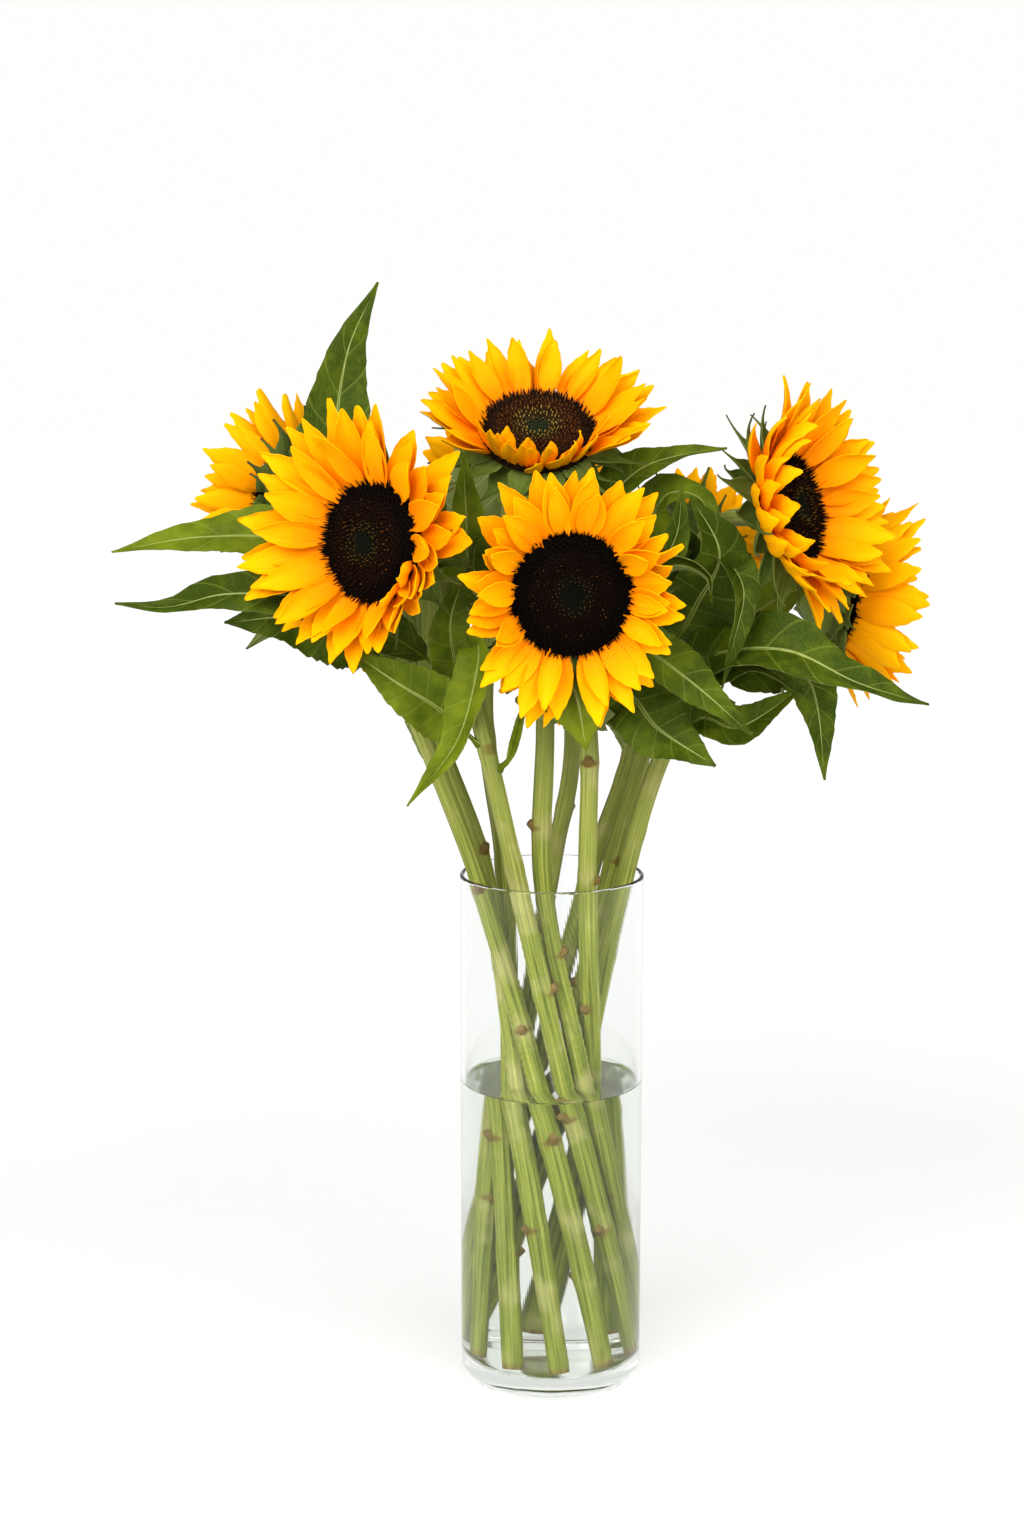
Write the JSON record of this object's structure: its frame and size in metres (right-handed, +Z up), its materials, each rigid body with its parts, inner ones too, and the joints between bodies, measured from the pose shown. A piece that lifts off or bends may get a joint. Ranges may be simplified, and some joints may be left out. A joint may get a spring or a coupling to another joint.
{
  "type": "vase of sunflowers",
  "caption": "Cut sunflowers with long bare stems and loose leaves, standing twisted together in a tall clear glass cylinder vase part filled with water.",
  "frame": {"origin": "centre of the vase's flat underside", "axes": "+Z up along the vase's axis, -Y towards the front of the bunch, +X to its right"},
  "size_m": [0.4267, 0.2463, 0.5984],
  "materials": {
    "vase_glass": "clear polished",
    "water": "clear liquid",
    "stem": "green, finely ribbed, slightly hairy",
    "disc": "matt dark brown florets",
    "petals": "soft satin yellow to orange",
    "bracts": "green, slightly hairy",
    "leaf": "green with pale veins, satin"
  },
  "bodies": {
    "root": {"vase": "vase_glass", "water": "water", "stem_1": "stem", "disc_1": "disc", "petals_1": "petals", "bracts_1": "bracts", "stem_2": "stem", "disc_2": "disc", "petals_2": "petals", "bracts_2": "bracts", "stem_3": "stem", "disc_3": "disc", "petals_3": "petals", "bracts_3": "bracts", "stem_4": "stem", "disc_4": "disc", "petals_4": "petals", "bracts_4": "bracts", "stem_5": "stem", "disc_5": "disc", "petals_5": "petals", "bracts_5": "bracts", "stem_6": "stem", "disc_6": "disc", "petals_6": "petals", "bracts_6": "bracts", "stem_7": "stem", "disc_7": "disc", "petals_7": "petals", "bracts_7": "bracts", "stem_8": "stem", "disc_8": "disc", "petals_8": "petals", "bracts_8": "bracts", "stem_9": "stem", "disc_9": "disc", "petals_9": "petals", "bracts_9": "bracts", "stem_10": "stem", "disc_10": "disc", "petals_10": "petals", "bracts_10": "bracts", "leaf_upright": "leaf", "leaf_left_long": "leaf", "leaf_left_folded": "leaf", "leaf_left_broad": "leaf", "leaf_under_left": "leaf", "leaf_hanging": "leaf", "leaf_middle_left": "leaf", "leaf_between": "leaf", "leaf_top_right": "leaf", "leaf_right_broad": "leaf", "leaf_curled": "leaf", "leaf_narrow": "leaf", "leaf_big_right": "leaf", "leaf_right_tip": "leaf", "leaf_low_right": "leaf", "leaf_mid_right": "leaf", "leaf_drooping": "leaf", "leaf_below_centre": "leaf"}
  },
  "joints": []
}
